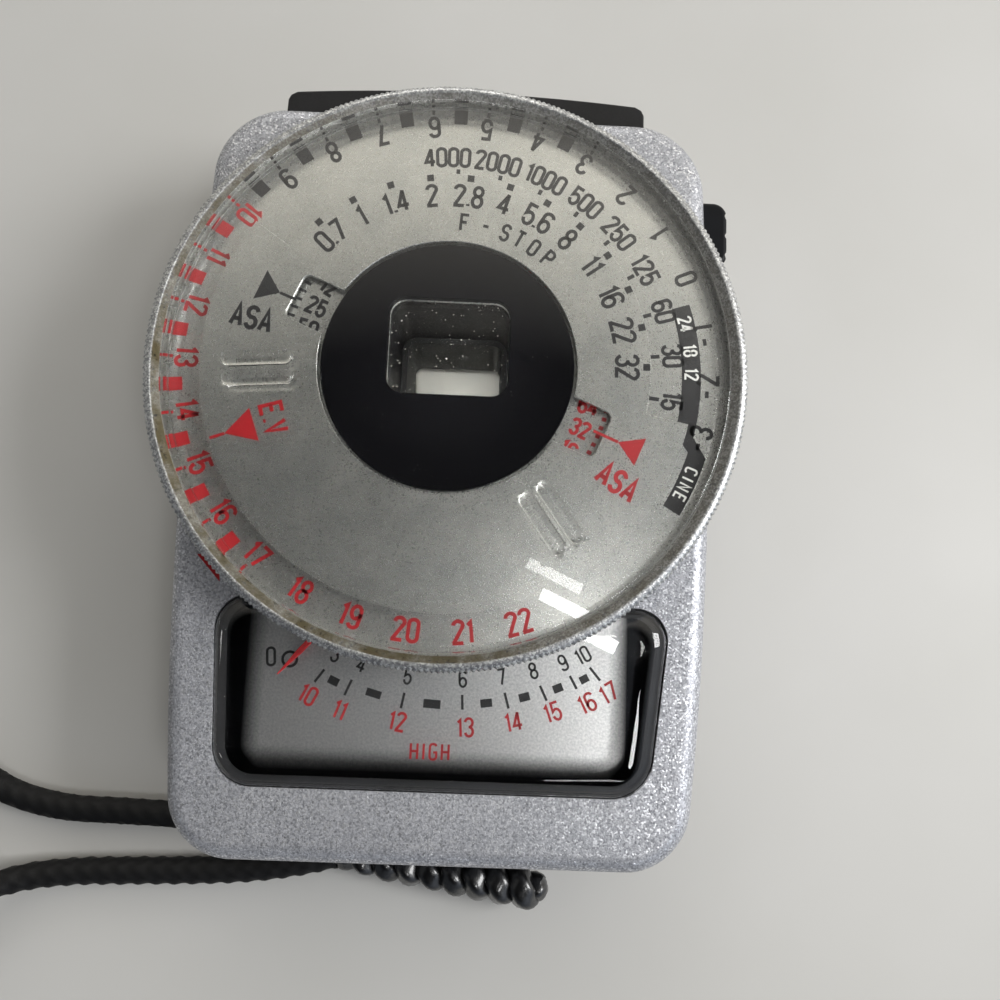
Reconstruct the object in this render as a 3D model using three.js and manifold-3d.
// Handheld light meter, lying on its back, in millimetres.
// +Z points out of the dial, +Y to the end with the black cap, and the origin is on the surface
// that the meter lies on, under the middle of its length and width.

import * as THREE from 'three';
import { mergeVertices } from 'three/addons/utils/BufferGeometryUtils.js';
import Module from 'manifold-3d';

const wasm = await Module();
wasm.setup();

// Driving dimensions of the casing
const bodyTopY = 42.85;
const bodyFootY = -42.75;
const bodyTopHalfWidth = 28.9;
const bodyFootHalfWidth = 27.4;
const bodyWaistHalfWidth = 30.6;
const bodyWaistY = -8;
const bodyWaistReach = 24;
const bodyTopCorner = 8.5;
const bodyFootCorner = 6.5;
const frontZ = 21;
const splitZ = 7.5;
const shellWall = 1.6;
const coverWall = 1.6;
const frontEdgeRadius = 2.2;
const rearEdgeRadius = 1.4;

// Driving dimensions of the dial
const dialCentreY = 10.15;
const ringRadius = 32.6;
const knurlTeeth = 200;
const knurlDepth = 0.4;
const ringFootZ = 22.6;
const ringTopZ = 26.2;
const ringFloor = 0.8;
const crystalInset = 2.5;
const crystalTopZ = 26.95;
const centreDiscShare = 0.4172;
const aperturePlateShare = 0.816;
const aperturePlateSmallShare = 0.6687;
const hubShare = 0.58;
const plateThickness = 0.4;
const crystalRadius = ringRadius - crystalInset;
const centreDiscRadius = ringRadius * centreDiscShare;
const aperturePlateRadius = ringRadius * aperturePlateShare;
const aperturePlateSmallRadius = ringRadius * aperturePlateSmallShare;
const hubRadius = ringRadius * hubShare;

// Driving dimensions of the sight
const sightWidth = 13;
const sightHeight = 10.6;
const sightCorner = 1.8;
const sightRise = 2.1;
const sightWall = 1;
const glassThickness = 0.8;

// Driving dimensions of the movement and its scale
const pivotX = 1.2;
const pivotY = -2.5;
const needleLength = 28;
const needleRestDegrees = 228.5;
const needleTravelDegrees = 81;
const scalePlateZ = 17;
const returnRingRadius = 7.9;

// Driving dimensions of the battery
const batteryX = 13.5;
const batteryY = -23;
const batteryRadius = 7.8;
const batteryHeight = 6.1;

// Driving dimensions of the lanyard
const cordDiameter = 3.3;
const coilOuterRadius = 23.4;
const coilTurns = 5.78;

// Clearances that more than one piece shares
const seatGap = 0.05;
const runningGap = 0.3;
const meetingGap = 0.3;
const overrun = 1;
const roundSteps = 40;
const smallRoundSteps = 12;

// Materials
const silver = new THREE.MeshStandardMaterial({ color: '#b4b6b8', roughness: 0.42, metalness: 0.85 });
const plateSilver = new THREE.MeshStandardMaterial({ color: '#d3d2cd', roughness: 0.4, metalness: 0.6 });
const steel = new THREE.MeshStandardMaterial({ color: '#9a9da0', roughness: 0.3, metalness: 1 });
const brass = new THREE.MeshStandardMaterial({ color: '#b08d4f', roughness: 0.35, metalness: 1 });
const copper = new THREE.MeshStandardMaterial({ color: '#a5562b', roughness: 0.4, metalness: 1 });
const magnetGrey = new THREE.MeshStandardMaterial({ color: '#5a5c60', roughness: 0.5, metalness: 0.7 });
const blackPlastic = new THREE.MeshStandardMaterial({ color: '#1b1b1d', roughness: 0.55, metalness: 0 });
const blackPaint = new THREE.MeshStandardMaterial({ color: '#121213', roughness: 0.35, metalness: 0 });
const clearAcrylic = new THREE.MeshStandardMaterial({
  color: '#f2f5f5', roughness: 0.05, metalness: 0, transparent: true, opacity: 0.25,
});
const redPaint = new THREE.MeshStandardMaterial({ color: '#c22a2a', roughness: 0.45, metalness: 0 });
const boardBrown = new THREE.MeshStandardMaterial({ color: '#8a6437', roughness: 0.6, metalness: 0 });
const ruby = new THREE.MeshStandardMaterial({ color: '#a3214a', roughness: 0.15, metalness: 0 });
const cellOrange = new THREE.MeshStandardMaterial({ color: '#c4702f', roughness: 0.5, metalness: 0 });
const cordBlack = new THREE.MeshStandardMaterial({ color: '#141415', roughness: 0.8, metalness: 0 });

// Shapes and solids

// One closed mesh with shared corners and no collapsed triangles.
function closedMesh(geometry) {
  const bare = geometry.clone();
  bare.deleteAttribute('normal');
  bare.deleteAttribute('uv');
  const merged = mergeVertices(bare);
  const corners = merged.index.array;
  const kept = [];
  for (let first = 0; first < corners.length; first += 3) {
    const [a, b, c] = [corners[first], corners[first + 1], corners[first + 2]];
    if (a !== b && b !== c && c !== a) {
      kept.push(a, b, c);
    }
  }
  merged.setIndex(kept);
  return merged;
}

function solid(geometry) {
  const mesh = closedMesh(geometry);
  return new wasm.Manifold(new wasm.Mesh({
    numProp: 3,
    vertProperties: new Float32Array(mesh.attributes.position.array),
    triVerts: new Uint32Array(mesh.index.array),
  }));
}

function geometryOf(manifold) {
  const mesh = manifold.getMesh();
  const geometry = new THREE.BufferGeometry();
  geometry.setAttribute('position', new THREE.BufferAttribute(new Float32Array(mesh.vertProperties), 3));
  geometry.setIndex(Array.from(mesh.triVerts));
  geometry.computeVertexNormals();
  return geometry;
}

function joined(first, ...others) {
  return others.reduce((sum, other) => sum.add(other), first);
}

function cut(base, ...tools) {
  return tools.reduce((rest, tool) => rest.subtract(tool), base);
}

// Moves every edge of a counter-clockwise outline outward by a distance.
function movedCorners(corners, distance) {
  const count = corners.length;
  return corners.map(([x, y, reach], index) => {
    const before = corners[(index + count - 1) % count];
    const after = corners[(index + 1) % count];
    const arrive = new THREE.Vector2(x - before[0], y - before[1]).normalize();
    const leave = new THREE.Vector2(after[0] - x, after[1] - y).normalize();
    const arriveNormal = new THREE.Vector2(arrive.y, -arrive.x);
    const leaveNormal = new THREE.Vector2(leave.y, -leave.x);
    const stretch = distance / (1 + arriveNormal.dot(leaveNormal));
    const move = arriveNormal.add(leaveNormal).multiplyScalar(stretch);
    return [x + move.x, y + move.y, Math.max(reach + distance, 0)];
  });
}

// An outline with round corners: each corner is x, y and how far its rounding reaches.
function roundedOutline(corners, distance = 0) {
  const arcHandleShare = 0.5523;
  const moved = movedCorners(corners, distance);
  const count = moved.length;
  const shape = new THREE.Shape();
  moved.forEach(([x, y, reach], index) => {
    const before = moved[(index + count - 1) % count];
    const after = moved[(index + 1) % count];
    const corner = new THREE.Vector2(x, y);
    const towardsBefore = new THREE.Vector2(before[0] - x, before[1] - y).normalize();
    const towardsAfter = new THREE.Vector2(after[0] - x, after[1] - y).normalize();
    const start = corner.clone().addScaledVector(towardsBefore, reach);
    const end = corner.clone().addScaledVector(towardsAfter, reach);
    if (index === 0) {
      shape.moveTo(start.x, start.y);
    } else {
      shape.lineTo(start.x, start.y);
    }
    if (reach > 0) {
      const handle = reach * (1 - arcHandleShare);
      const first = corner.clone().addScaledVector(towardsBefore, handle);
      const second = corner.clone().addScaledVector(towardsAfter, handle);
      shape.bezierCurveTo(first.x, first.y, second.x, second.y, end.x, end.y);
    }
  });
  shape.closePath();
  return shape;
}

function rectangleCorners(width, height, corner, x = 0, y = 0) {
  const right = width / 2;
  const top = height / 2;
  return [
    [x - right, y - top, corner],
    [x + right, y - top, corner],
    [x + right, y + top, corner],
    [x - right, y + top, corner],
  ];
}

function roundPath(radius, x = 0, y = 0, PathClass = THREE.Shape) {
  const path = new PathClass();
  path.absarc(x, y, radius, 0, 2 * Math.PI, false);
  return path;
}

function extruded(shape, lowZ, highZ, curveSegments = 4) {
  const geometry = new THREE.ExtrudeGeometry(shape, {
    depth: highZ - lowZ, bevelEnabled: false, curveSegments,
  });
  geometry.translate(0, 0, lowZ);
  return geometry;
}

// Both flat ends get edges rounded by the radius, inside the outline.
function extrudedRound(shape, lowZ, highZ, radius, curveSegments = 4, bevelSegments = 3) {
  const geometry = new THREE.ExtrudeGeometry(shape, {
    depth: highZ - lowZ - 2 * radius,
    bevelEnabled: true,
    bevelThickness: radius,
    bevelSize: radius,
    bevelOffset: -radius,
    bevelSegments,
    curveSegments,
  });
  geometry.translate(0, 0, lowZ + radius);
  return geometry;
}

function cylinder(radius, lowZ, highZ, x = 0, y = 0, steps = smallRoundSteps) {
  const geometry = new THREE.CylinderGeometry(radius, radius, highZ - lowZ, steps);
  geometry.rotateX(Math.PI / 2);
  geometry.translate(x, y, (lowZ + highZ) / 2);
  return geometry;
}

function block(lowX, highX, lowY, highY, lowZ, highZ) {
  const geometry = new THREE.BoxGeometry(highX - lowX, highY - lowY, highZ - lowZ);
  geometry.translate((lowX + highX) / 2, (lowY + highY) / 2, (lowZ + highZ) / 2);
  return geometry;
}

// A turned piece: the profile is a list of [radius, z], anticlockwise in that plane.
function turned(profile, steps = roundSteps, x = 0, y = 0) {
  const points = profile.map(([radius, z]) => new THREE.Vector2(radius, z));
  points.push(points[0].clone());
  const geometry = new THREE.LatheGeometry(points, steps);
  geometry.rotateX(Math.PI / 2);
  geometry.translate(x, y, 0);
  return geometry;
}

function ringProfile(innerRadius, outerRadius, lowZ, highZ) {
  return [[innerRadius, lowZ], [outerRadius, lowZ], [outerRadius, highZ], [innerRadius, highZ]];
}

function radians(degrees) {
  return THREE.MathUtils.degToRad(degrees);
}

// A tube with its own radius at each point, closed by flat ends.
function woundTube(points, radii, sides) {
  const positions = [];
  const faces = [];
  const last = points.length - 1;
  let side = new THREE.Vector3(0, 0, 1);
  points.forEach((point, index) => {
    const next = points[Math.min(index + 1, last)];
    const previous = points[Math.max(index - 1, 0)];
    const along = next.clone().sub(previous).normalize();
    side = side.clone().addScaledVector(along, -side.dot(along)).normalize();
    const across = along.clone().cross(side);
    for (let step = 0; step < sides; step += 1) {
      const angle = step / sides * 2 * Math.PI;
      const corner = point.clone()
        .addScaledVector(side, radii[index] * Math.cos(angle))
        .addScaledVector(across, radii[index] * Math.sin(angle));
      positions.push(corner.x, corner.y, corner.z);
    }
  });
  for (let ring = 0; ring < last; ring += 1) {
    for (let step = 0; step < sides; step += 1) {
      const a = ring * sides + step;
      const b = ring * sides + (step + 1) % sides;
      faces.push(a, b, b + sides, a, b + sides, a + sides);
    }
  }
  for (let step = 1; step < sides - 1; step += 1) {
    const end = last * sides;
    faces.push(0, step + 1, step);
    faces.push(end, end + step, end + step + 1);
  }
  const geometry = new THREE.BufferGeometry();
  geometry.setAttribute('position', new THREE.Float32BufferAttribute(positions, 3));
  geometry.setIndex(faces);
  return geometry;
}

// The least gap between two stretches of a wound tube that lie more than a few diameters apart
// along it, measured on its points.
function leastSelfGap(points, radii) {
  const apartDiameters = 3;
  let least = Infinity;
  const travelled = [0];
  for (let index = 1; index < points.length; index += 1) {
    travelled.push(travelled[index - 1] + points[index].distanceTo(points[index - 1]));
  }
  for (let one = 0; one < points.length; one += 1) {
    for (let two = one + 1; two < points.length; two += 1) {
      if (travelled[two] - travelled[one] > apartDiameters * (radii[one] + radii[two])) {
        least = Math.min(least, points[one].distanceTo(points[two]) - radii[one] - radii[two]);
      }
    }
  }
  return { least, length: travelled[points.length - 1] };
}

const lightMeter = new THREE.Group();

function addPart(name, geometry, material) {
  const mesh = new THREE.Mesh(geometry, material);
  mesh.name = name;
  lightMeter.add(mesh);
  return mesh;
}

function addSolid(name, manifold, material) {
  return addPart(name, geometryOf(manifold), material);
}

// Casing outline, seen from the front
const bodyCorners = [
  [-bodyFootHalfWidth, bodyFootY, bodyFootCorner],
  [bodyFootHalfWidth, bodyFootY, bodyFootCorner],
  [bodyWaistHalfWidth, bodyWaistY, bodyWaistReach],
  [bodyTopHalfWidth, bodyTopY, bodyTopCorner],
  [-bodyTopHalfWidth, bodyTopY, bodyTopCorner],
  [-bodyWaistHalfWidth, bodyWaistY, bodyWaistReach],
];

// Half the casing's width at a height along it, between its corners
function halfWidthAt(y) {
  const [fromY, fromHalf] = y < bodyWaistY
    ? [bodyFootY, bodyFootHalfWidth]
    : [bodyTopY, bodyTopHalfWidth];
  const share = (y - bodyWaistY) / (fromY - bodyWaistY);
  return bodyWaistHalfWidth + share * (fromHalf - bodyWaistHalfWidth);
}

// Housing screws: two near the top corners and two at the foot
const screwBossRadius = 2.2;
const screwShankRadius = 0.85;
const screwHeadRadius = 1.9;
const screwHeadZ = 0.25;
const screwHeadHeight = 1.1;
const screwHeadGap = 0.15;
const screwTipZ = 13;
const topScrewInset = 6.1;
const footScrewInset = 6.6;
const footScrewRise = 4.55;
const topScrewX = bodyTopHalfWidth - topScrewInset;
const topScrewY = bodyTopY - topScrewInset;
const footScrewX = bodyFootHalfWidth - footScrewInset;
const footScrewY = bodyFootY + footScrewRise;
const screwPlaces = [
  [-topScrewX, topScrewY],
  [topScrewX, topScrewY],
  [footScrewX, footScrewY],
  [-footScrewX, footScrewY],
];

// Scale window: a clear plug that stands proud of the front shell
const windowTopY = -15;
const windowFootInset = 7.95;
const windowLeftTopInset = 6.5;
const windowLeftFootInset = 4.6;
const windowRightTopInset = 5.3;
const windowRightFootInset = 4.4;
const windowCorner = 4;
const windowProud = 1.3;
const windowShoulder = 1;
const windowWall = 1.1;
const windowLedge = 0.8;
const windowLedgeThickness = 0.5;
const windowGap = 0.15;
const windowFootY = bodyFootY + windowFootInset;
const windowLeftTop = windowLeftTopInset - bodyWaistHalfWidth;
const windowLeftFoot = windowLeftFootInset - bodyFootHalfWidth;
const windowRightTop = bodyWaistHalfWidth - windowRightTopInset;
const windowRightFoot = bodyFootHalfWidth - windowRightFootInset;
const windowCorners = [
  [windowLeftFoot, windowFootY, windowCorner],
  [windowRightFoot, windowFootY, windowCorner],
  [windowRightTop, windowTopY, windowCorner],
  [windowLeftTop, windowTopY, windowCorner],
];
const ledgeZ = frontZ - shellWall + windowLedgeThickness;

// Rocker key in the right side
const keyProud = 3.15;
const keyLength = 5.5;
const keyPivotInset = 3.25;
const keyLowY = 26.1;
const keyHighY = 34.3;
const keyLowZ = 10.6;
const keyHighZ = 18.2;
const keyCorner = 1.7;
const keyPinRadius = 0.75;
const keyHubRadius = 1.7;
const keySlotGap = 0.5;
const keyPivotY = (keyLowY + keyHighY) / 2;
const keySideX = halfWidthAt(keyPivotY);
const keyOuterX = keySideX + keyProud;
const keyInnerX = keyOuterX - keyLength;
const keyPivotX = keySideX - keyPivotInset;

// Black cap at the top end
const capInset = 7.5;
const capLeftShift = 0.4;
const capProud = 3.1;
const capEndDrop = 0.9;
const capReachInside = 2.75;
const capChamfer = 1.1;
const capLowZ = splitZ + meetingGap;
const capHighZ = 20.1;
const capHalfWidth = bodyTopHalfWidth - capInset;
const capTopY = bodyTopY + capProud;
const capInnerY = bodyTopY - capReachInside;

// Eyelet for the lanyard, at the foot
const eyeletX = -10;
const eyeletZ = 3.2;
const eyeletWire = 1.2;
const eyeletInnerRadius = 2;
const eyeletReachInside = 2;
const eyeletHoleGap = 0.2;
const eyeletOuterRadius = eyeletInnerRadius + eyeletWire;

// Sight line, as a box that glass closes at both ends
const sightX = 0;
const sightY = dialCentreY + sightRise;
const sightCorners = rectangleCorners(sightWidth, sightHeight, sightCorner, sightX, sightY);
const tubeCorners = rectangleCorners(
  sightWidth + 2 * sightWall, sightHeight + 2 * sightWall, sightCorner + sightWall, sightX, sightY);

// Photocell behind a lens in the rear cover
const cellX = 0;
const cellY = 31.4;
const lensRadius = 5.6;
const lensEdge = 1;
const lensBulge = 0.9;
const lensLip = 0.6;
const cellBaffleWall = 1.1;
const cellBaffleTopZ = 9;
const photocellRadius = 5.4;
const photocellHeight = 2.4;

// Hub that carries the dial, screwed to the front shell
const hubFlangeReach = 2.7;
const hubFlange = 0.9;
const hubTopZ = 23.75;
const dialScrewRadius = 0.6;
const dialScrewHeadRadius = 1.3;
const dialScrewHead = 0.3;
const dialScrewDegrees = [70, 250];
const dialScrewGap = 0.15;
const hubFlangeRadius = hubRadius + hubFlangeReach;
const dialScrewCircle = (centreDiscRadius + hubRadius) / 2;

function dialScrewPlace(degrees) {
  return [
    dialScrewCircle * Math.cos(radians(degrees)),
    dialCentreY + dialScrewCircle * Math.sin(radians(degrees)),
  ];
}

function dialScrewHoles(lowZ, highZ) {
  return dialScrewDegrees.map((degrees) => {
    const [x, y] = dialScrewPlace(degrees);
    return solid(cylinder(dialScrewRadius + dialScrewGap, lowZ - overrun, highZ + overrun, x, y));
  });
}

// Front shell
function makeFrontShell() {
  const outer = solid(extrudedRound(
    roundedOutline(bodyCorners), splitZ - frontEdgeRadius, frontZ, frontEdgeRadius, 4, 3));
  const wide = bodyWaistHalfWidth + overrun;
  const below = solid(block(
    -wide, wide, bodyFootY - overrun, bodyTopY + overrun, splitZ - frontEdgeRadius - overrun, splitZ));
  const cavity = solid(extruded(
    roundedOutline(bodyCorners, -shellWall), splitZ - overrun, frontZ - shellWall, 4));
  const windowHole = solid(extruded(
    roundedOutline(windowCorners, windowGap), ledgeZ, frontZ + overrun));
  const windowThrough = solid(extruded(
    roundedOutline(windowCorners, -windowLedge), frontZ - shellWall - overrun, frontZ));
  const sightHole = solid(extruded(
    roundedOutline(tubeCorners, runningGap), frontZ - shellWall - overrun, frontZ + overrun));
  const keySlot = solid(block(
    keySideX - shellWall - overrun, keyOuterX + overrun,
    keyLowY - keySlotGap, keyHighY + keySlotGap, keyLowZ - keySlotGap, keyHighZ + keySlotGap));
  const capSlot = solid(block(
    capLeftShift - capHalfWidth - meetingGap, capLeftShift + capHalfWidth + meetingGap,
    capInnerY - meetingGap, capTopY + overrun, splitZ - overrun, capHighZ + meetingGap));
  const bosses = screwPlaces.map(([x, y]) => solid(
    cylinder(screwBossRadius, splitZ, frontZ - shellWall / 2, x, y)));
  const threads = screwPlaces.map(([x, y]) => solid(
    cylinder(screwShankRadius + seatGap, splitZ - overrun, screwTipZ + runningGap, x, y)));
  const hollow = cut(outer, below, cavity, windowHole, windowThrough, sightHole, keySlot, capSlot,
    ...dialScrewHoles(frontZ - shellWall, frontZ));
  addSolid('front_shell', cut(joined(hollow, ...bosses), ...threads), silver);
}

// Rear cover
const batteryCapRadius = 9.3;
const batteryCapGap = 0.2;
const zeroScrewX = pivotX;
const zeroScrewY = -9;
const zeroScrewRadius = 1.8;
const zeroScrewGap = 0.15;

function makeRearCover() {
  const outer = solid(extrudedRound(
    roundedOutline(bodyCorners), 0, splitZ + rearEdgeRadius, rearEdgeRadius, 4, 2));
  const wide = bodyWaistHalfWidth + overrun;
  const above = solid(block(
    -wide, wide, bodyFootY - overrun, bodyTopY + overrun,
    splitZ - seatGap, splitZ + rearEdgeRadius + overrun));
  const cavity = solid(extruded(
    roundedOutline(bodyCorners, -coverWall), coverWall, splitZ + overrun, 4));
  const sightHole = solid(extruded(roundedOutline(sightCorners), -overrun, coverWall + overrun));
  const glassSeat = solid(extruded(
    roundedOutline(tubeCorners, seatGap), coverWall - glassThickness, coverWall + overrun));
  const lensHole = solid(cylinder(
    lensRadius - lensLip, -overrun, coverWall + overrun, cellX, cellY, roundSteps / 2));
  const lensSeat = solid(cylinder(
    lensRadius + seatGap, coverWall - lensEdge, coverWall + overrun, cellX, cellY, roundSteps / 2));
  const capHole = solid(cylinder(
    batteryCapRadius + batteryCapGap, -overrun, coverWall + overrun, batteryX, batteryY, roundSteps));
  const zeroHole = solid(cylinder(
    zeroScrewRadius + zeroScrewGap, -overrun, coverWall + overrun, zeroScrewX, zeroScrewY));
  const bosses = screwPlaces.map(([x, y]) => solid(
    cylinder(screwBossRadius, coverWall / 2, splitZ - seatGap, x, y)));
  const screwHoles = screwPlaces.map(([x, y]) => joined(
    solid(cylinder(screwShankRadius + seatGap, -overrun, splitZ + overrun, x, y)),
    solid(cylinder(
      screwHeadRadius + screwHeadGap, -overrun, screwHeadZ + screwHeadHeight, x, y))));
  const legCentre = eyeletInnerRadius + eyeletWire / 2;
  const legHalf = eyeletWire / 2 + eyeletHoleGap;
  const eyeletHoles = [-legCentre, legCentre].map((offset) => solid(block(
    eyeletX + offset - legHalf, eyeletX + offset + legHalf,
    bodyFootY - overrun, bodyFootY + coverWall + overrun, eyeletZ - legHalf, eyeletZ + legHalf)));
  const hollow = cut(outer, above, cavity, sightHole, glassSeat, lensHole, lensSeat, capHole, zeroHole,
    ...eyeletHoles);
  addSolid('rear_cover', cut(joined(hollow, ...bosses), ...screwHoles), blackPlastic);
}

function makeHousingScrews() {
  const slotWidth = 0.5;
  const slotDepth = 0.45;
  screwPlaces.forEach(([x, y], index) => {
    const head = solid(cylinder(screwHeadRadius, screwHeadZ, screwHeadZ + screwHeadHeight - seatGap, x, y));
    const shank = solid(cylinder(screwShankRadius, screwHeadZ, screwTipZ, x, y, smallRoundSteps / 2));
    const slot = solid(block(
      x - screwHeadRadius - overrun, x + screwHeadRadius + overrun,
      y - slotWidth / 2, y + slotWidth / 2, screwHeadZ - overrun, screwHeadZ + slotDepth));
    addSolid(`housing_screw_${index + 1}`, cut(joined(head, shank), slot), steel);
  });
}

// Scale window: a shallow clear lid with a bevelled shoulder
function makeScaleWindow() {
  const outline = roundedOutline(windowCorners);
  const topZ = frontZ + windowProud;
  const lid = solid(extrudedRound(outline, ledgeZ + seatGap - windowShoulder, topZ, windowShoulder, 5, 2));
  const belowSeat = solid(block(
    windowLeftTop - overrun, windowRightTop + overrun, windowFootY - overrun, windowTopY + overrun,
    ledgeZ - windowShoulder - overrun, ledgeZ + seatGap));
  const inside = solid(extruded(
    roundedOutline(windowCorners, -windowWall - windowLedge), ledgeZ - overrun, topZ - windowWall));
  addSolid('scale_window', cut(lid, belowSeat, inside), clearAcrylic);
}

// Scale plate on two riveted pillars
const scalePlateTopReach = 3.4;
const scalePlateFootReach = 1;
const scalePlateTopInset = 5.1;
const scalePlateFootInset = 2;
const pillarRadius = 1.4;
const pillarInset = 9.6;
const pillarDrop = 1.5;
const scalePlateTopY = windowTopY + scalePlateTopReach;
const scalePlateFootY = windowFootY - scalePlateFootReach;
const pillarX = bodyWaistHalfWidth - pillarInset;
const pillarY = scalePlateTopY - pillarDrop;

function makeScalePlate() {
  const topHalfWidth = bodyWaistHalfWidth - scalePlateTopInset;
  const footHalfWidth = bodyFootHalfWidth - scalePlateFootInset;
  const corners = [
    [-footHalfWidth, scalePlateFootY, windowCorner],
    [footHalfWidth, scalePlateFootY, windowCorner],
    [topHalfWidth, scalePlateTopY, windowCorner],
    [-topHalfWidth, scalePlateTopY, windowCorner],
  ];
  addPart('scale_plate', extruded(
    roundedOutline(corners), scalePlateZ, scalePlateZ + plateThickness), plateSilver);
  addPart('scale_pillar_left', cylinder(
    pillarRadius, coverWall + seatGap, scalePlateZ - seatGap, -pillarX, pillarY), brass);
  addPart('scale_pillar_right', cylinder(
    pillarRadius, coverWall + seatGap, scalePlateZ - seatGap, pillarX, pillarY), brass);
}

// Black cap that closes the top end, bowed outward
function makeEndCap() {
  const left = capLeftShift - capHalfWidth;
  const right = capLeftShift + capHalfWidth;
  const shape = new THREE.Shape();
  const endY = capTopY - capEndDrop;
  shape.moveTo(left, capInnerY);
  shape.lineTo(right, capInnerY);
  shape.lineTo(right, endY - capChamfer);
  shape.lineTo(right - capChamfer, endY);
  shape.quadraticCurveTo(capLeftShift, capTopY + capEndDrop, left + capChamfer, endY);
  shape.lineTo(left, endY - capChamfer);
  shape.closePath();
  addPart('end_cap', extruded(shape, capLowZ, capHighZ, 8), blackPlastic);
}

// Rocker key on its pin, with the bracket and the centring spring
const bracketBackInset = 7.45;
const bracketThickness = 0.8;
const bracketHalfLength = 4.6;
const bracketFrontInset = 2.05;
const bracketBottomZ = 8.4;
const springThickness = 0.25;
const springBulge = 1.05;
const springHalfLength = 3.6;
const bracketBackX = keySideX - bracketBackInset;
const bracketFrontX = keySideX - bracketFrontInset;

function makeRockerKey() {
  const middleZ = (keyLowZ + keyHighZ) / 2;
  const corners = [
    [keyInnerX, keyLowY, keyCorner / 2],
    [keyOuterX, keyLowY, keyCorner],
    [keyOuterX, keyHighY, keyCorner],
    [keyInnerX, keyHighY, keyCorner / 2],
  ];
  const edgeRadius = keyCorner / 4;
  const cap = solid(extrudedRound(roundedOutline(corners), keyLowZ, keyHighZ, edgeRadius, 4, 2));
  const hub = solid(cylinder(
    keyHubRadius, keyLowZ + edgeRadius, keyHighZ - edgeRadius, keyPivotX, keyPivotY));
  const bore = solid(cylinder(
    keyPinRadius + seatGap, keyLowZ - overrun, keyHighZ + overrun, keyPivotX, keyPivotY));
  const gripDepth = 0.35;
  const gripRadius = 0.5;
  const gripPlacesShares = [-0.3, 0, 0.3];
  const grips = gripPlacesShares.map((share) => solid(cylinder(
    gripRadius, keyLowZ - overrun, keyHighZ + overrun,
    keyOuterX + gripRadius - gripDepth, keyPivotY + share * (keyHighY - keyLowY), 8)));
  addSolid('rocker_key', cut(joined(cap, hub), bore, ...grips), blackPlastic);

  const pinTopZ = frontZ - shellWall - seatGap;
  addPart('rocker_pin', cylinder(keyPinRadius, bracketBottomZ, pinTopZ, keyPivotX, keyPivotY), steel);

  const bracketTopZ = frontZ - shellWall - seatGap;
  const back = solid(block(
    bracketBackX, bracketBackX + bracketThickness,
    keyPivotY - bracketHalfLength, keyPivotY + bracketHalfLength - bracketThickness,
    bracketBottomZ, bracketTopZ));
  const base = solid(block(
    bracketBackX, bracketFrontX,
    keyPivotY - bracketHalfLength, keyPivotY + bracketHalfLength - bracketThickness,
    bracketBottomZ, bracketBottomZ + bracketThickness));
  const pinHole = solid(cylinder(
    keyPinRadius + seatGap, bracketBottomZ - overrun, bracketBottomZ + bracketThickness + overrun,
    keyPivotX, keyPivotY));
  addSolid('key_bracket', cut(joined(back, base), pinHole), steel);

  const springHalfHeight = (keyHighZ - keyLowZ) / 4;
  const springShape = new THREE.Shape();
  const footX = bracketBackX + bracketThickness + seatGap;
  const bowX = footX + 2 * springBulge;
  springShape.moveTo(footX, keyPivotY - springHalfLength);
  springShape.quadraticCurveTo(
    bowX, keyPivotY, footX, keyPivotY + springHalfLength);
  springShape.lineTo(footX, keyPivotY + springHalfLength - springThickness);
  springShape.quadraticCurveTo(
    bowX - 2 * springThickness, keyPivotY, footX, keyPivotY - springHalfLength + springThickness);
  springShape.closePath();
  addPart('key_spring', extruded(
    springShape, middleZ - springHalfHeight, middleZ + springHalfHeight), steel);
}

// Eyelet: a wire loop that passes through two holes of the rear cover
function makeEyelet() {
  const height = 2 * eyeletOuterRadius + eyeletReachInside;
  const middleY = bodyFootY - eyeletOuterRadius + height / 2;
  const outer = roundedOutline(rectangleCorners(
    2 * eyeletOuterRadius, height, eyeletOuterRadius, eyeletX, middleY));
  const innerCorners = rectangleCorners(
    2 * eyeletInnerRadius, height - 2 * eyeletWire, eyeletInnerRadius, eyeletX, middleY);
  const lowZ = eyeletZ - eyeletWire / 2;
  const highZ = eyeletZ + eyeletWire / 2;
  const loop = cut(
    solid(extruded(outer, lowZ, highZ, 6)),
    solid(extruded(roundedOutline(innerCorners), lowZ - overrun, highZ + overrun, 6)));
  addSolid('lanyard_eyelet', loop, steel);
}

// Sight tube with a step half way, and a glass at each end
const sightStepZ = 12;
const sightStep = 0.7;
const frontGlassTopZ = hubTopZ - seatGap;

function makeSight() {
  const topZ = frontGlassTopZ - glassThickness - seatGap;
  const tube = solid(extruded(roundedOutline(tubeCorners), coverWall + seatGap, topZ));
  const wideBore = solid(extruded(roundedOutline(sightCorners), sightStepZ, topZ + overrun));
  const narrowBore = solid(extruded(
    roundedOutline(sightCorners, -sightStep), coverWall - overrun, topZ + overrun));
  addSolid('sight_tube', cut(tube, wideBore, narrowBore), blackPlastic);
  addPart('front_sight_glass', extruded(
    roundedOutline(tubeCorners), frontGlassTopZ - glassThickness, frontGlassTopZ), clearAcrylic);
  addPart('rear_sight_glass', extruded(
    roundedOutline(tubeCorners), coverWall - glassThickness + seatGap, coverWall), clearAcrylic);
}

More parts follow.
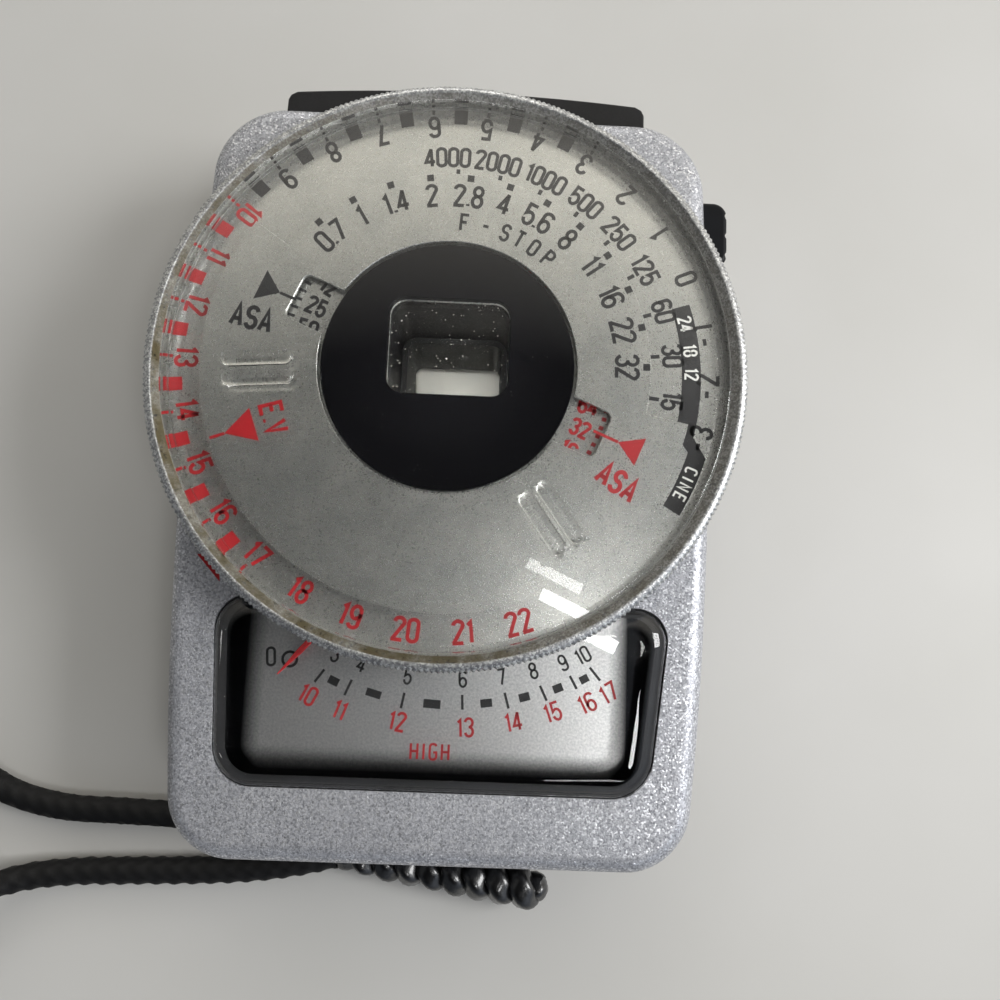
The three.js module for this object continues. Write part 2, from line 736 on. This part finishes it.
// Photocell, its lens and the baffle between them
function makePhotocell() {
  const lowZ = coverWall - lensEdge + seatGap;
  const faceRadius = lensRadius - lensLip - runningGap;
  const profile = [
    [0, lowZ - lensBulge / 2],
    [faceRadius / 2, lowZ - lensBulge / 3],
    [faceRadius, lowZ],
    [lensRadius, lowZ],
    [lensRadius, coverWall],
    [faceRadius, coverWall],
    [faceRadius / 2, coverWall + lensBulge * 3 / 4],
    [0, coverWall + lensBulge],
  ];
  addPart('cell_lens', closedMesh(turned(profile, roundSteps / 2, cellX, cellY)), clearAcrylic);
  const baffleInner = lensRadius;
  addPart('cell_baffle', closedMesh(turned(
    ringProfile(baffleInner, baffleInner + cellBaffleWall, coverWall + seatGap, cellBaffleTopZ),
    roundSteps / 2, cellX, cellY)), blackPlastic);
  const cellZ = cellBaffleTopZ + seatGap;
  const rimRadius = baffleInner + cellBaffleWall / 2;
  const rim = solid(cylinder(rimRadius, cellZ, cellZ + photocellHeight / 2, cellX, cellY, roundSteps / 2));
  const base = solid(cylinder(
    photocellRadius, cellZ, cellZ + photocellHeight, cellX, cellY, roundSteps / 2));
  const legRadius = 0.3;
  const legSpacing = 2;
  const legLength = 3;
  const legs = [-legSpacing, legSpacing].map((offset) => solid(cylinder(
    legRadius, cellZ, cellZ + photocellHeight + legLength, cellX + offset, cellY, 8)));
  addSolid('photocell', joined(rim, base, ...legs), cellOrange);
}

// Dial: hub, friction washer, knurled ring and speed plate
const ringWall = 0.7;
const lipWidth = 1.75;
const lipHeight = 0.65;
const lipBevel = 0.4;
const hubGap = 0.3;
const washerThickness = 0.3;
const knurlMargin = 0.45;
const speedPlateReach = 2;
const speedPlateInnerRadius = hubRadius + speedPlateReach;
const filmDiscRadius = speedPlateInnerRadius - runningGap;
const lipInnerRadius = ringRadius - lipWidth;
const ringRootRadius = ringRadius - knurlDepth;
const ringRecessRadius = ringRootRadius - ringWall;
const ringFloorTopZ = ringFootZ + ringFloor;
const hubBore = hubRadius + hubGap;

function makeHub() {
  const flange = solid(cylinder(hubFlangeRadius, frontZ, frontZ + hubFlange, 0, dialCentreY, roundSteps));
  const boss = solid(cylinder(hubRadius, frontZ, hubTopZ, 0, dialCentreY, roundSteps));
  const sightHole = solid(extruded(
    roundedOutline(tubeCorners, seatGap), frontZ - overrun, hubTopZ + overrun));
  const screwHoles = dialScrewHoles(frontZ, hubTopZ);
  addSolid('dial_hub', cut(joined(flange, boss), sightHole, ...screwHoles), blackPlastic);
  const washerLowZ = frontZ + hubFlange + seatGap;
  addPart('friction_washer', closedMesh(turned(
    ringProfile(hubBore, hubFlangeRadius - hubGap, washerLowZ, washerLowZ + washerThickness),
    roundSteps, 0, dialCentreY)), brass);
}

function makeKnurledRing() {
  const profile = [
    [hubBore, ringFootZ],
    [ringRootRadius, ringFootZ],
    [ringRootRadius, ringTopZ - lipBevel],
    [ringRootRadius - lipBevel, ringTopZ],
    [lipInnerRadius, ringTopZ],
    [lipInnerRadius, ringTopZ - lipHeight],
    [ringRecessRadius, ringTopZ - lipHeight],
    [ringRecessRadius, ringFloorTopZ],
    [hubBore, ringFloorTopZ],
  ];
  const body = solid(turned(profile));
  const star = new THREE.Shape();
  for (let tooth = 0; tooth < knurlTeeth; tooth += 1) {
    const peak = tooth / knurlTeeth * 2 * Math.PI;
    const root = (tooth + 1 / 2) / knurlTeeth * 2 * Math.PI;
    const rootRadius = ringRootRadius;
    if (tooth === 0) {
      star.moveTo(ringRadius, 0);
    } else {
      star.lineTo(ringRadius * Math.cos(peak), ringRadius * Math.sin(peak));
    }
    star.lineTo(rootRadius * Math.cos(root), rootRadius * Math.sin(root));
  }
  star.closePath();
  star.holes.push(roundPath(ringRecessRadius + ringWall / 2, 0, 0, THREE.Path));
  const band = solid(extruded(star, ringFootZ + knurlMargin, ringTopZ - knurlMargin, roundSteps / 2));
  const ring = addSolid('knurled_ring', joined(body, band), silver);
  ring.position.set(0, dialCentreY, 0);
  const plateLowZ = ringFloorTopZ + seatGap;
  const plate = addPart('speed_plate', closedMesh(turned(ringProfile(
    speedPlateInnerRadius, ringRecessRadius - hubGap,
    plateLowZ, plateLowZ + plateThickness))), plateSilver);
  plate.position.set(0, dialCentreY, 0);
}

// Fixed disc with the film speeds, its two screws and the black centre disc
const filmDiscZ = hubTopZ + seatGap;
const centreDiscTopZ = 24.95;

function makeFixedDiscs() {
  const disc = solid(cylinder(
    filmDiscRadius, filmDiscZ, filmDiscZ + plateThickness, 0, dialCentreY, roundSteps));
  const sightHole = solid(extruded(
    roundedOutline(sightCorners), filmDiscZ - overrun, centreDiscTopZ + overrun));
  addSolid('film_speed_disc', cut(disc, sightHole,
    ...dialScrewHoles(filmDiscZ, filmDiscZ + plateThickness)), plateSilver);
  const centre = solid(cylinder(
    centreDiscRadius, filmDiscZ + plateThickness + seatGap, centreDiscTopZ, 0, dialCentreY, roundSteps));
  addSolid('centre_disc', cut(centre, sightHole), blackPaint);
  dialScrewDegrees.forEach((degrees, index) => {
    const [x, y] = dialScrewPlace(degrees);
    const headZ = filmDiscZ + plateThickness + seatGap;
    const head = solid(cylinder(dialScrewHeadRadius, headZ, headZ + dialScrewHead, x, y));
    const shank = solid(cylinder(
      dialScrewRadius, frontZ - shellWall - seatGap, headZ + dialScrewHead / 2, x, y));
    addSolid(`dial_screw_${index + 1}`, joined(head, shank), steel);
  });
}

// Aperture plate: it turns with the crystal, and shows the film speeds through two notches
const aperturePlateTopZ = 25.15;
const notchWidth = 5.3;
const notchInset = 3.2;
const notchCorner = 0.8;
const notchDegrees = [157, 337];
const wideSectorStartDegrees = 144.7;
const wideSectorEndDegrees = 348.2;
const plateHoleRadius = centreDiscRadius + runningGap;
const notchReach = aperturePlateSmallRadius - notchInset;

function makeAperturePlate() {
  const lowZ = aperturePlateTopZ - plateThickness;
  const start = radians(wideSectorStartDegrees);
  const end = radians(wideSectorEndDegrees);
  const shape = new THREE.Shape();
  shape.absarc(0, 0, aperturePlateRadius, start, end, false);
  shape.absarc(0, 0, aperturePlateSmallRadius, end, start + 2 * Math.PI, false);
  shape.closePath();
  const disc = solid(extruded(shape, lowZ, aperturePlateTopZ, roundSteps / 2));
  const hole = solid(cylinder(
    plateHoleRadius, lowZ - overrun, aperturePlateTopZ + overrun, 0, 0, roundSteps));
  const notches = notchDegrees.map((degrees) => {
    const notchStart = plateHoleRadius - overrun;
    const corners = rectangleCorners(
      notchReach - notchStart, notchWidth, notchCorner, (notchReach + notchStart) / 2, 0);
    const geometry = extruded(roundedOutline(corners), lowZ - overrun, aperturePlateTopZ + overrun);
    geometry.rotateZ(radians(degrees));
    return solid(geometry);
  });
  const plate = addSolid('aperture_plate', cut(disc, hole, ...notches), plateSilver);
  plate.position.set(0, dialCentreY, 0);
}

// Crystal with two pairs of moulded finger ribs
const crystalInnerZ = 25.3;
const crystalWall = 0.9;
const crystalFlange = 1.1;
const crystalFlangeLowZ = 24.65;
const crystalFlangeTopZ = 25.25;
const crystalCrown = 0.25;
const crystalShoulder = 1.6;
const crystalShoulderDrop = 0.9;
const ribWidth = 1.7;
const ribLength = 7.4;
const ribRise = 0.55;
const ribPitch = 2.15;
const ribCircleShare = 0.6196;
const ribDegrees = [183, 305.4];
const crystalInnerRadius = crystalRadius - crystalWall;
const crystalFlangeRadius = crystalRadius + crystalFlange;
const ribCircle = ringRadius * ribCircleShare;

function makeCrystal() {
  const crownZ = crystalTopZ - crystalCrown;
  const profile = [
    [0, crystalInnerZ],
    [crystalInnerRadius, crystalInnerZ],
    [crystalInnerRadius, crystalFlangeLowZ],
    [crystalFlangeRadius, crystalFlangeLowZ],
    [crystalFlangeRadius, crystalFlangeTopZ],
    [crystalRadius, crystalFlangeTopZ],
    [crystalRadius, crownZ - crystalShoulderDrop],
    [crystalRadius - crystalShoulder / 4, crownZ - crystalShoulderDrop / 3],
    [crystalRadius - crystalShoulder, crownZ],
    [crystalRadius / 2, crystalTopZ - crystalCrown / 4],
    [0, crystalTopZ],
  ];
  const dome = solid(turned(profile));
  const ribs = ribDegrees.flatMap((degrees) => [-ribPitch / 2, ribPitch / 2].map((offset) => {
    const corners = rectangleCorners(ribLength, ribWidth, ribWidth / 2 - seatGap, ribCircle, offset);
    const geometry = extrudedRound(
      roundedOutline(corners), crownZ - crystalShoulderDrop, crystalTopZ - crystalCrown / 2 + ribRise,
      ribRise / 2, 3, 2);
    geometry.rotateZ(radians(degrees));
    return solid(geometry);
  }));
  const crystal = addSolid('crystal', joined(dome, ...ribs), clearAcrylic);
  crystal.position.set(0, dialCentreY, 0);
}

// Movement: a core magnet in a return ring, with a moving coil between them
const returnRingWall = 1.3;
const returnRingLowZ = 6;
const returnRingHighZ = 12;
const coreRadius = 4.4;
const coreInset = 0.2;
const coreLugWidth = 2.4;
const coilInnerHalf = 4.9;
const coilWire = 1.2;
const coilDepth = 2.4;
const coilLowZ = 5;
const coilHighZ = 13;
const coilBar = 0.6;
const staffRadius = 0.55;
const bridgeThickness = 1;
const bridgeWidth = 3.4;
const bridgeLegWidth = 1.1;
const upperBridgeZ = 14.4;
const lowerBridgeZ = 2.6;
const jewelRadius = 1.3;
const returnRingInner = returnRingRadius - returnRingWall;
const legCircle = returnRingInner + returnRingWall / 2;

function atMovement(mesh) {
  mesh.position.set(pivotX, pivotY, 0);
  return mesh;
}

function makeFieldPieces() {
  atMovement(addPart('return_ring', closedMesh(turned(ringProfile(
    returnRingInner, returnRingRadius, returnRingLowZ, returnRingHighZ), roundSteps / 2)), steel));
  const core = solid(cylinder(
    coreRadius, returnRingLowZ + coreInset, returnRingHighZ - coreInset, 0, 0, roundSteps / 2));
  const lugReach = returnRingInner - coreInset;
  const lugs = solid(block(
    -coreLugWidth / 2, coreLugWidth / 2, -lugReach, lugReach,
    returnRingLowZ + coreInset, returnRingHighZ - coreInset));
  atMovement(addSolid('core_magnet', joined(core, lugs), magnetGrey));
}

// A bar with a bearing hole and a leg at each end, over one wall of the return ring
function bridge(lowZ, legLowZ, legHighZ) {
  const length = legCircle + bridgeLegWidth / 2;
  const bar = solid(block(
    -length, length, -bridgeWidth / 2, bridgeWidth / 2, lowZ, lowZ + bridgeThickness));
  const legs = [-1, 1].map((side) => solid(block(
    side * legCircle - bridgeLegWidth / 2, side * legCircle + bridgeLegWidth / 2,
    -bridgeWidth / 2, bridgeWidth / 2, legLowZ, legHighZ)));
  const hole = solid(cylinder(jewelRadius + seatGap, lowZ - overrun, lowZ + bridgeThickness + overrun));
  return cut(joined(bar, ...legs), hole);
}

function makeBridges() {
  atMovement(addSolid('upper_bridge', bridge(
    upperBridgeZ, returnRingHighZ + seatGap, upperBridgeZ + bridgeThickness), brass));
  atMovement(addSolid('lower_bridge', bridge(
    lowerBridgeZ, coverWall + seatGap, returnRingLowZ - seatGap), brass));
  const jewelBore = staffRadius + seatGap;
  atMovement(addPart('upper_jewel', closedMesh(turned(ringProfile(
    jewelBore, jewelRadius, upperBridgeZ, upperBridgeZ + bridgeThickness), smallRoundSteps)), ruby));
  atMovement(addPart('lower_jewel', closedMesh(turned(ringProfile(
    jewelBore, jewelRadius, lowerBridgeZ, lowerBridgeZ + bridgeThickness), smallRoundSteps)), ruby));
}

// Moving coil, its two half staffs and the needle turn together
const needleZ = 18.45;
const needleThickness = 0.3;
const needleWidth = 0.65;
const needleHubRadius = 1.4;
const needleTailLength = 5;
const needleTailWidth = 1.6;
const needleTipLength = 3;
const lowerStaffLowZ = 2.7;
const upperStaffHighZ = 18.9;

function makeMovingSystem() {
  const half = coilInnerHalf + coilWire;
  const frame = solid(block(-half, half, -coilDepth / 2, coilDepth / 2, coilLowZ, coilHighZ));
  const inside = solid(block(
    -coilInnerHalf, coilInnerHalf, -coilDepth, coilDepth, coilLowZ + coilBar, coilHighZ - coilBar));
  const coil = atMovement(addSolid('moving_coil', cut(frame, inside), copper));
  coil.rotation.set(0, 0, radians(-needleTravelDegrees / 2));
  atMovement(addPart('upper_staff', cylinder(
    staffRadius, coilHighZ + seatGap, upperStaffHighZ), steel));
  atMovement(addPart('lower_staff', cylinder(
    staffRadius, lowerStaffLowZ, coilLowZ - seatGap), steel));
  const shape = new THREE.Shape();
  shape.moveTo(-needleTailLength, -needleTailWidth / 2);
  shape.lineTo(-needleTailLength, needleTailWidth / 2);
  shape.lineTo(0, needleWidth / 2);
  shape.lineTo(needleLength - needleTipLength, needleWidth / 2);
  shape.lineTo(needleLength, 0);
  shape.lineTo(needleLength - needleTipLength, -needleWidth / 2);
  shape.lineTo(0, -needleWidth / 2);
  shape.closePath();
  const blade = solid(extruded(shape, needleZ, needleZ + needleThickness));
  const hub = solid(cylinder(needleHubRadius, needleZ - needleThickness, needleZ + needleThickness));
  const bore = solid(cylinder(staffRadius + seatGap, needleZ - overrun, needleZ + overrun));
  const needle = atMovement(addSolid('needle', cut(joined(blade, hub), bore), redPaint));
  needle.rotation.set(0, 0, radians(needleRestDegrees));
}

// Flat hairsprings, three turns each
const hairspringTurns = 3;
const hairspringInner = 1.2;
const hairspringOuter = 4.2;
const hairspringBand = 0.3;
const hairspringHeight = 0.4;

function hairspringShape() {
  const stepsPerTurn = 10;
  const steps = hairspringTurns * stepsPerTurn;
  const outerPoints = [];
  const innerPoints = [];
  for (let step = 0; step <= steps; step += 1) {
    const share = step / steps;
    const angle = share * hairspringTurns * 2 * Math.PI;
    const radius = hairspringInner + share * (hairspringOuter - hairspringInner);
    const direction = new THREE.Vector2(Math.cos(angle), Math.sin(angle));
    outerPoints.push(direction.clone().multiplyScalar(radius + hairspringBand / 2));
    innerPoints.unshift(direction.clone().multiplyScalar(radius - hairspringBand / 2));
  }
  return new THREE.Shape([...outerPoints, ...innerPoints]);
}

function makeHairsprings() {
  const upperZ = coilHighZ + (upperBridgeZ - coilHighZ - hairspringHeight) / 2;
  atMovement(addPart('upper_hairspring', extruded(
    hairspringShape(), upperZ, upperZ + hairspringHeight), steel));
  const lowerZ = coilLowZ - hairspringHeight - seatGap * 2;
  atMovement(addPart('lower_hairspring', extruded(
    hairspringShape(), lowerZ, lowerZ + hairspringHeight), steel));
}

// Zero adjustment: a screw in the rear cover turns the lever by an offset pin
const zeroLeverZ = 3.75;
const zeroLeverThickness = 0.4;
const zeroLeverRing = 2.4;
const zeroLeverBore = 1;
const zeroLeverWidth = 1.7;
const zeroPinRadius = 0.35;
const zeroPinOffset = 0.7;
const zeroPinGap = 0.15;
const zeroScrewLowZ = 0.25;
const zeroScrewShankZ = 2.3;

function makeZeroAdjustment() {
  const armLength = pivotY - zeroScrewY - zeroPinOffset;
  const ring = solid(cylinder(zeroLeverRing, zeroLeverZ, zeroLeverZ + zeroLeverThickness));
  const armEnd = armLength + zeroPinRadius + zeroLeverWidth / 2;
  const arm = solid(block(
    -zeroLeverWidth / 2, zeroLeverWidth / 2, -armEnd, 0, zeroLeverZ, zeroLeverZ + zeroLeverThickness));
  const bore = solid(cylinder(zeroLeverBore, zeroLeverZ - overrun, zeroLeverZ + overrun));
  const slotHalf = zeroPinRadius + zeroPinGap;
  const slot = solid(block(
    -slotHalf, slotHalf, -armEnd - overrun, -armLength + zeroPinRadius + zeroPinGap * 2,
    zeroLeverZ - overrun, zeroLeverZ + overrun));
  atMovement(addSolid('zero_lever', cut(joined(ring, arm), bore, slot), brass));

  const head = solid(cylinder(zeroScrewRadius, zeroScrewLowZ, zeroScrewShankZ));
  const pin = solid(cylinder(
    zeroPinRadius, zeroScrewShankZ - overrun, zeroLeverZ + zeroLeverThickness + zeroPinGap,
    0, zeroPinOffset));
  const slotWidth = 0.6;
  const slotDepth = 0.7;
  const driverSlot = solid(block(
    -zeroScrewRadius - overrun, zeroScrewRadius + overrun, -slotWidth / 2, slotWidth / 2,
    zeroScrewLowZ - overrun, zeroScrewLowZ + slotDepth));
  const screw = addSolid('zero_screw', cut(joined(head, pin), driverSlot), steel);
  screw.position.set(zeroScrewX, zeroScrewY, 0);
}

// Battery: tray, cell, two contacts and the cap with its coin slot
const batteryCapLowZ = 0.2;
const batteryCapFlange = 1.2;
const batteryLowZ = 2.7;
const trayWall = 1;
const trayGap = 0.45;
const contactThickness = 0.25;

function makeBattery() {
  const batteryTopZ = batteryLowZ + batteryHeight;
  const trayInner = batteryRadius + trayGap;
  const trayOuter = trayInner + trayWall;
  const contactZ = batteryTopZ + seatGap;
  const trayRoofZ = contactZ + contactThickness + seatGap;
  addPart('battery_tray', closedMesh(turned([
    [trayInner, batteryLowZ],
    [trayOuter, batteryLowZ],
    [trayOuter, trayRoofZ + trayWall],
    [0, trayRoofZ + trayWall],
    [0, trayRoofZ],
    [trayInner, trayRoofZ],
  ], roundSteps / 2, batteryX, batteryY)), blackPlastic);
  const rimBevel = 0.7;
  addPart('button_cell', closedMesh(turned([
    [0, batteryLowZ],
    [batteryRadius - rimBevel * 2, batteryLowZ],
    [batteryRadius - rimBevel, batteryLowZ + rimBevel * 2],
    [batteryRadius, batteryLowZ + rimBevel * 3],
    [batteryRadius, batteryTopZ],
    [0, batteryTopZ],
  ], roundSteps / 2, batteryX, batteryY)), steel);
  addPart('battery_top_contact', cylinder(
    batteryRadius / 2, contactZ, contactZ + contactThickness, batteryX, batteryY), brass);
  const bladeHalf = radians(25);
  const bladeShape = new THREE.Shape();
  const bladeInner = batteryRadius + seatGap * 2;
  bladeShape.absarc(batteryX, batteryY, bladeInner + contactThickness, -bladeHalf, bladeHalf, false);
  bladeShape.absarc(batteryX, batteryY, bladeInner, bladeHalf, -bladeHalf, true);
  bladeShape.closePath();
  addPart('battery_side_contact', extruded(
    bladeShape, batteryLowZ + rimBevel * 3, batteryTopZ - seatGap, 3), brass);

  const skirtRadius = batteryRadius + trayGap - batteryCapGap;
  const flange = solid(cylinder(
    batteryCapRadius, batteryCapLowZ, batteryCapLowZ + batteryCapFlange, 0, 0, roundSteps));
  const skirt = solid(cylinder(
    skirtRadius, batteryCapLowZ, batteryLowZ - batteryCapGap, 0, 0, roundSteps / 2));
  const coinSlotLength = 11;
  const coinSlotWidth = 1.8;
  const coinSlotDepth = 0.9;
  const coinSlot = solid(extruded(
    roundedOutline(rectangleCorners(coinSlotLength, coinSlotWidth, coinSlotWidth / 2 - seatGap)),
    batteryCapLowZ - overrun, batteryCapLowZ + coinSlotDepth));
  const cap = addSolid('battery_cap', cut(joined(flange, skirt), coinSlot), blackPlastic);
  cap.position.set(batteryX, batteryY, 0);
}

// Circuit board on two edges of the left side, with a range trimmer
const boardInset = 3.25;
const boardRightX = -9.4;
const boardLowY = -9;
const boardHighY = 27;
const boardZ = splitZ + shellWall;
const boardThickness = 1.2;
const trimmerRadius = 3.2;
const trimmerHeight = 3.4;
const boardLeftX = boardInset - Math.min(halfWidthAt(boardLowY), halfWidthAt(boardHighY));

function makeBoard() {
  const width = boardRightX - boardLeftX;
  const height = boardHighY - boardLowY;
  const corners = rectangleCorners(
    width, height, shellWall, boardLeftX + width / 2, boardLowY + height / 2);
  addPart('circuit_board', extruded(
    roundedOutline(corners), boardZ, boardZ + boardThickness), boardBrown);
  const trimmerX = boardLeftX + width / 2;
  const trimmerY = boardLowY + height / 4;
  const trimmerZ = boardZ + boardThickness + seatGap;
  const drum = solid(cylinder(trimmerRadius, trimmerZ, trimmerZ + trimmerHeight, trimmerX, trimmerY));
  const slotWidth = 0.7;
  const slot = solid(block(
    trimmerX - trimmerRadius - overrun, trimmerX + trimmerRadius + overrun,
    trimmerY - slotWidth / 2, trimmerY + slotWidth / 2,
    trimmerZ + trimmerHeight - slotWidth, trimmerZ + trimmerHeight + overrun));
  addSolid('range_trimmer', cut(drum, slot), blackPlastic);
  const standRadius = 1.6;
  const standY = boardHighY - height / 8;
  addPart('board_stand_lower', cylinder(
    standRadius, coverWall + seatGap, boardZ - seatGap, trimmerX, boardLowY + height / 8), brass);
  addPart('board_stand_upper', cylinder(
    standRadius, coverWall + seatGap, boardZ - seatGap, trimmerX, standY), brass);
}

// Lanyard: one cord that leaves the eyelet to the left, lies in a coil and comes back to the
// whipped knot at the foot. These points are chosen by hand.
const rearStrandPoints = [
  [-13.5, -44.75, 3.2],
  [-17.5, -44.75, 3.05],
  [-22, -44.8, 2.2],
  [-27, -44.3, 1.68],
  [-32.5, -43.5, 1.65],
  [-40, -43.2, 1.65],
  [-48, -42.9, 1.65],
  [-54.4, -41.4, 1.75],
  [-58.6, -39.1, 2.1],
  [-61.4, -36.9, 2.45],
  [-64.35, -34.32, 2.55],
];
const frontStrandPoints = [
  [-63.28, -57.85, 6.4],
  [-60.6, -55.2, 5.9],
  [-57, -52.9, 4.2],
  [-52, -51.5, 2.3],
  [-46, -50.75, 1.65],
  [-39, -50.4, 1.65],
  [-30, -50.05, 1.65],
  [-23.5, -49.6, 1.65],
  [-17.2, -48.65, 1.65],
  [-12.75, -47.6, 1.65],
];

function toVectors(points) {
  return points.map(([x, y, z]) => new THREE.Vector3(x, y, z));
}

function cordTube(points, steps) {
  const sides = 8;
  const section = new THREE.Shape();
  for (let side = 0; side < sides; side += 1) {
    const angle = (side + 1 / 2) / sides * 2 * Math.PI;
    const x = cordDiameter / 2 * Math.cos(angle);
    const y = cordDiameter / 2 * Math.sin(angle);
    if (side === 0) {
      section.moveTo(x, y);
    } else {
      section.lineTo(x, y);
    }
  }
  section.closePath();
  const path = new THREE.CatmullRomCurve3(toVectors(points), false, 'centripetal');
  console.log(`strand length ${path.getLength().toFixed(1)} mm`);
  return closedMesh(new THREE.ExtrudeGeometry(section, { steps, bevelEnabled: false, extrudePath: path }));
}

const coilCentreX = -85;
const coilCentreY = -47;
const coilLift = 0.9;
const coilPitch = cordDiameter + 0.6;
const coilLayer = cordDiameter + 0.55;
const coilStartDegrees = 40;
const loopSteps = 24;
const loopSides = 6;

// How far from the coil's centre the cord lies after so many turns: it spirals in, then out.
function coilRadius(turn) {
  return coilOuterRadius - coilPitch * (coilTurns / 2 - Math.abs(turn - coilTurns / 2));
}

// The coil spirals in on the lower layer, climbs in the half turn where it reverses, and spirals
// out again on the upper layer.
function makeCoil() {
  const points = [];
  const steps = Math.round(coilTurns * loopSteps);
  const lowZ = coilLift + cordDiameter / 2;
  for (let step = 0; step <= steps; step += 1) {
    const turn = step / loopSteps;
    const fromMiddle = turn - coilTurns / 2;
    const radius = coilRadius(turn);
    const climb = THREE.MathUtils.smoothstep(fromMiddle, -1 / 4, 1 / 4);
    const angle = radians(coilStartDegrees) + turn * 2 * Math.PI;
    points.push(new THREE.Vector3(
      coilCentreX + radius * Math.cos(angle),
      coilCentreY + radius * Math.sin(angle),
      lowZ + coilLayer * climb));
  }
  const lead = points[0].clone().sub(points[1]).normalize().multiplyScalar(cordDiameter);
  const last = points.length - 1;
  const tail = points[last].clone().sub(points[last - 1]).normalize().multiplyScalar(cordDiameter);
  points.unshift(points[0].clone().add(lead));
  points.push(points[last + 1].clone().add(tail));
  const radii = points.map(() => cordDiameter / 2);
  const gap = leastSelfGap(points, radii);
  console.log(`coil length ${gap.length.toFixed(1)} mm, least self-gap ${gap.least.toFixed(2)} mm`);
  addPart('lanyard_coil', woundTube(points, radii, loopSides), cordBlack);
}

// A strap round the coil holds it together.
function makeCoilTie() {
  const strap = 0.55;
  const tieWidth = 4;
  const room = 0.3;
  const passes = [];
  for (let turn = (180 - coilStartDegrees) / 360; turn < coilTurns; turn += 1) {
    passes.push(coilRadius(turn));
  }
  const innerRadius = Math.min(...passes) - cordDiameter / 2 - room;
  const outerRadius = Math.max(...passes) + cordDiameter / 2 + room;
  const lowZ = coilLift - room;
  const highZ = coilLift + coilLayer + cordDiameter + room;
  const lowY = coilCentreY - tieWidth / 2;
  const highY = coilCentreY + tieWidth / 2;
  const outer = solid(block(
    coilCentreX - outerRadius - strap, coilCentreX - innerRadius + strap, lowY, highY,
    lowZ - strap, highZ + strap));
  const inner = solid(block(
    coilCentreX - outerRadius, coilCentreX - innerRadius, lowY - overrun, highY + overrun, lowZ, highZ));
  addSolid('lanyard_tie', cut(outer, inner), blackPlastic);
}

// The whipped knot: the cord's end wound on itself, thicker to the right
const knotStart = [-10.3, -47.1, 1.95];
const knotEnd = [11.6, -50.1, 3.15];
const knotTurns = 6.75;
const knotStartRadius = 0.9;
const knotEndRadius = 1.75;
const knotStartTube = 0.95;
const knotEndTube = 1.35;

function makeKnot() {
  const start = new THREE.Vector3(...knotStart);
  const end = new THREE.Vector3(...knotEnd);
  const along = end.clone().sub(start).normalize();
  const up = new THREE.Vector3(0, 0, 1).addScaledVector(along, -along.z).normalize();
  const side = along.clone().cross(up);
  const points = [];
  const radii = [];
  const steps = knotTurns * loopSteps;
  const fadeTurns = 1 / 2;
  for (let step = 0; step <= steps; step += 1) {
    const share = step / steps;
    const turn = step / loopSteps;
    const fade = Math.min(1, turn / fadeTurns, (knotTurns - turn) / fadeTurns);
    const wide = knotStartRadius + share * (knotEndRadius - knotStartRadius);
    const radius = wide * Math.max(fade, 0);
    const angle = turn * 2 * Math.PI;
    points.push(start.clone().lerp(end, share)
      .addScaledVector(up, radius * Math.cos(angle))
      .addScaledVector(side, radius * Math.sin(angle)));
    radii.push(knotStartTube + share * (knotEndTube - knotStartTube));
  }
  points.unshift(start.clone().addScaledVector(along, -2 * knotStartTube));
  radii.unshift(knotStartTube);
  points.push(end.clone().addScaledVector(along, 2 * knotEndTube));
  radii.push(knotEndTube);
  const gap = leastSelfGap(points, radii);
  console.log(`knot length ${gap.length.toFixed(1)} mm, least self-gap ${gap.least.toFixed(2)} mm`);
  addPart('lanyard_knot', woundTube(points, radii, loopSides), cordBlack);
}

function makeLanyard() {
  const stretchSteps = 14;
  addPart('lanyard_rear_strand', cordTube(rearStrandPoints, stretchSteps), cordBlack);
  addPart('lanyard_front_strand', cordTube(frontStrandPoints, stretchSteps), cordBlack);
  makeCoil();
  makeCoilTie();
  makeKnot();
}

makeFrontShell();
makeRearCover();
makeHousingScrews();
makeScaleWindow();
makeScalePlate();
makeEndCap();
makeRockerKey();
makeEyelet();
makeSight();
makePhotocell();
makeHub();
makeKnurledRing();
makeFixedDiscs();
makeAperturePlate();
makeCrystal();
makeFieldPieces();
makeBridges();
makeMovingSystem();
makeHairsprings();
makeZeroAdjustment();
makeBattery();
makeBoard();
makeLanyard();

export default lightMeter;
